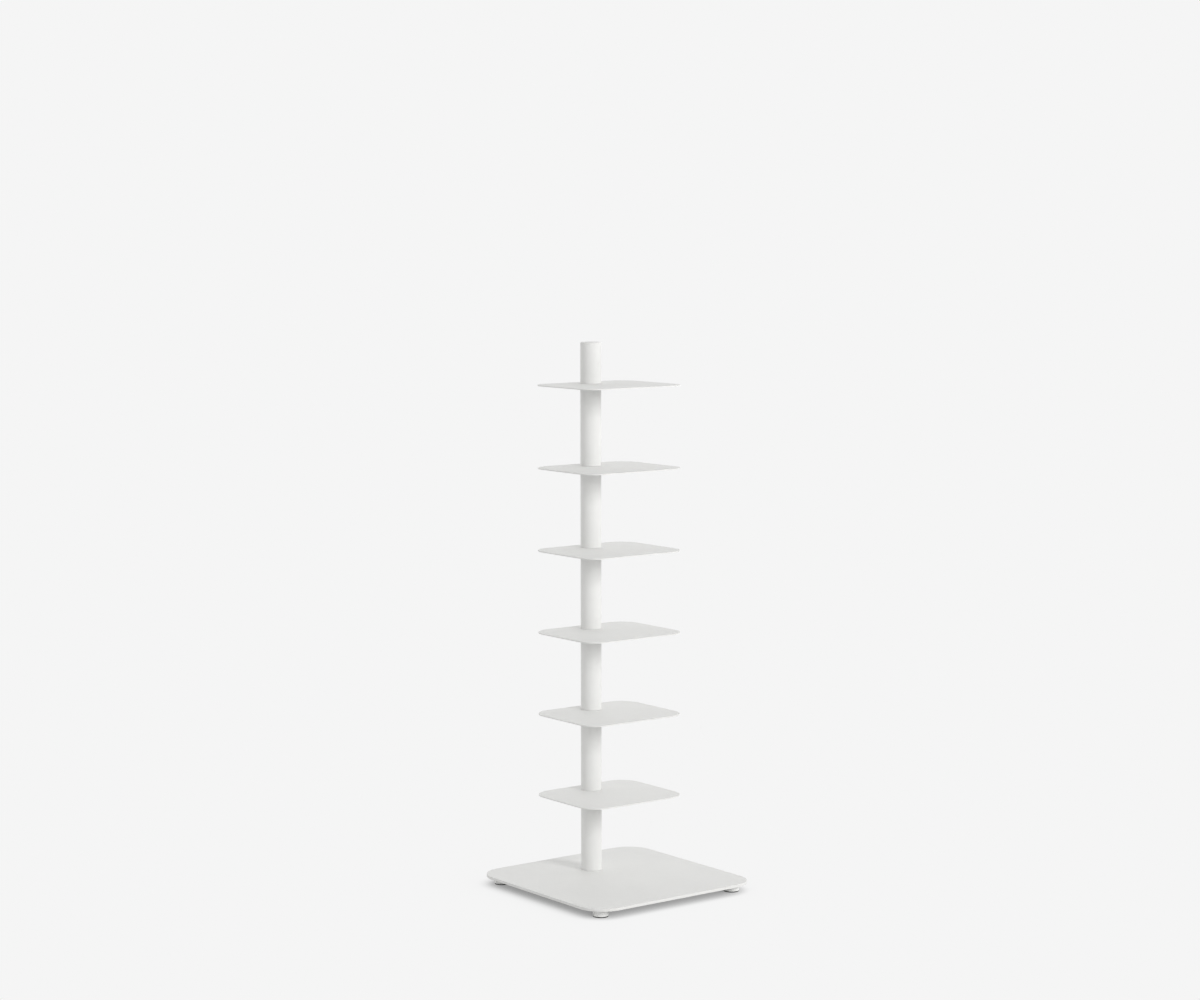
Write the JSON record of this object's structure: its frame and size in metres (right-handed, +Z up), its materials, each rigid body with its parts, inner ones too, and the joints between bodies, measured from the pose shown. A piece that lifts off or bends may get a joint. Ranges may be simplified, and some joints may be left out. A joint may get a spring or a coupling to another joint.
{
  "type": "spine bookshelf",
  "caption": "Free-standing spine bookshelf: a square base plate on levelling feet carries a round post with thin rounded trays threaded on it for flat stacks of books.",
  "frame": {"origin": "on the floor under the middle of the base plate, with the levelling feet fully screwed in", "axes": "+Z up along the post, -Y to the front, where the trays reach out from the post, +X to the right"},
  "size_m": [0.368, 0.368, 0.995],
  "materials": {
    "white_coat": "fine satin powder coat, very slightly warm white",
    "white_plastic": "satin moulded",
    "zinc_steel": "bright zinc plate",
    "bare_steel": "plain mill finish",
    "black_rubber": "matt"
  },
  "bodies": {
    "shelf": {"base_plate": "white_coat", "base_washer": "zinc_steel", "base_bolt": "zinc_steel", "foot_boss_front_left": "white_coat", "foot_boss_front_right": "white_coat", "foot_boss_back_left": "white_coat", "foot_boss_back_right": "white_coat", "column_tube": "bare_steel", "column_foot_block": "bare_steel", "column_head_block": "bare_steel", "post_sleeve_1": "white_coat", "post_sleeve_2": "white_coat", "post_sleeve_3": "white_coat", "post_sleeve_4": "white_coat", "post_sleeve_5": "white_coat", "post_sleeve_6": "white_coat", "post_sleeve_top": "white_coat", "tray_1": "white_coat", "tray_2": "white_coat", "tray_3": "white_coat", "tray_4": "white_coat", "tray_5": "white_coat", "tray_6": "white_coat", "bearing_disc": "bare_steel", "clamp_washer": "zinc_steel", "clamp_bolt": "zinc_steel", "top_cap": "white_coat"},
    "sole_front_left": {"foot_sole_front_left": "black_rubber"},
    "sole_front_right": {"foot_sole_front_right": "black_rubber"},
    "sole_back_left": {"foot_sole_back_left": "black_rubber"},
    "sole_back_right": {"foot_sole_back_right": "black_rubber"},
    "screw_front_left": {"foot_cup_front_left": "white_plastic", "foot_stud_front_left": "zinc_steel"},
    "screw_front_right": {"foot_cup_front_right": "white_plastic", "foot_stud_front_right": "zinc_steel"},
    "screw_back_left": {"foot_cup_back_left": "white_plastic", "foot_stud_back_left": "zinc_steel"},
    "screw_back_right": {"foot_cup_back_right": "white_plastic", "foot_stud_back_right": "zinc_steel"}
  },
  "joints": [
    {"name": "lift_front_left", "type": "slide", "parent": "shelf", "child": "sole_front_left", "axis": [0, 0, -1], "range_m": [0, 0.00375]},
    {"name": "spin_front_left", "type": "hinge", "parent": "sole_front_left", "child": "screw_front_left", "pos_m": [-0.1495, -0.1495, 0.009], "axis": [0, 0, -1], "range_deg": [0, 1080]},
    {"name": "lift_front_right", "type": "slide", "parent": "shelf", "child": "sole_front_right", "axis": [0, 0, -1], "range_m": [0, 0.00375]},
    {"name": "spin_front_right", "type": "hinge", "parent": "sole_front_right", "child": "screw_front_right", "pos_m": [0.1495, -0.1495, 0.009], "axis": [0, 0, -1], "range_deg": [0, 1080]},
    {"name": "lift_back_left", "type": "slide", "parent": "shelf", "child": "sole_back_left", "axis": [0, 0, -1], "range_m": [0, 0.00375]},
    {"name": "spin_back_left", "type": "hinge", "parent": "sole_back_left", "child": "screw_back_left", "pos_m": [-0.1495, 0.1495, 0.009], "axis": [0, 0, -1], "range_deg": [0, 1080]},
    {"name": "lift_back_right", "type": "slide", "parent": "shelf", "child": "sole_back_right", "axis": [0, 0, -1], "range_m": [0, 0.00375]},
    {"name": "spin_back_right", "type": "hinge", "parent": "sole_back_right", "child": "screw_back_right", "pos_m": [0.1495, 0.1495, 0.009], "axis": [0, 0, -1], "range_deg": [0, 1080]}
  ],
  "couplings": [
    {"joint": "lift_front_left", "follows": "spin_front_left", "m_per_rad": 0.00019894},
    {"joint": "lift_front_right", "follows": "spin_front_right", "m_per_rad": 0.00019894},
    {"joint": "lift_back_left", "follows": "spin_back_left", "m_per_rad": 0.00019894},
    {"joint": "lift_back_right", "follows": "spin_back_right", "m_per_rad": 0.00019894}
  ]
}
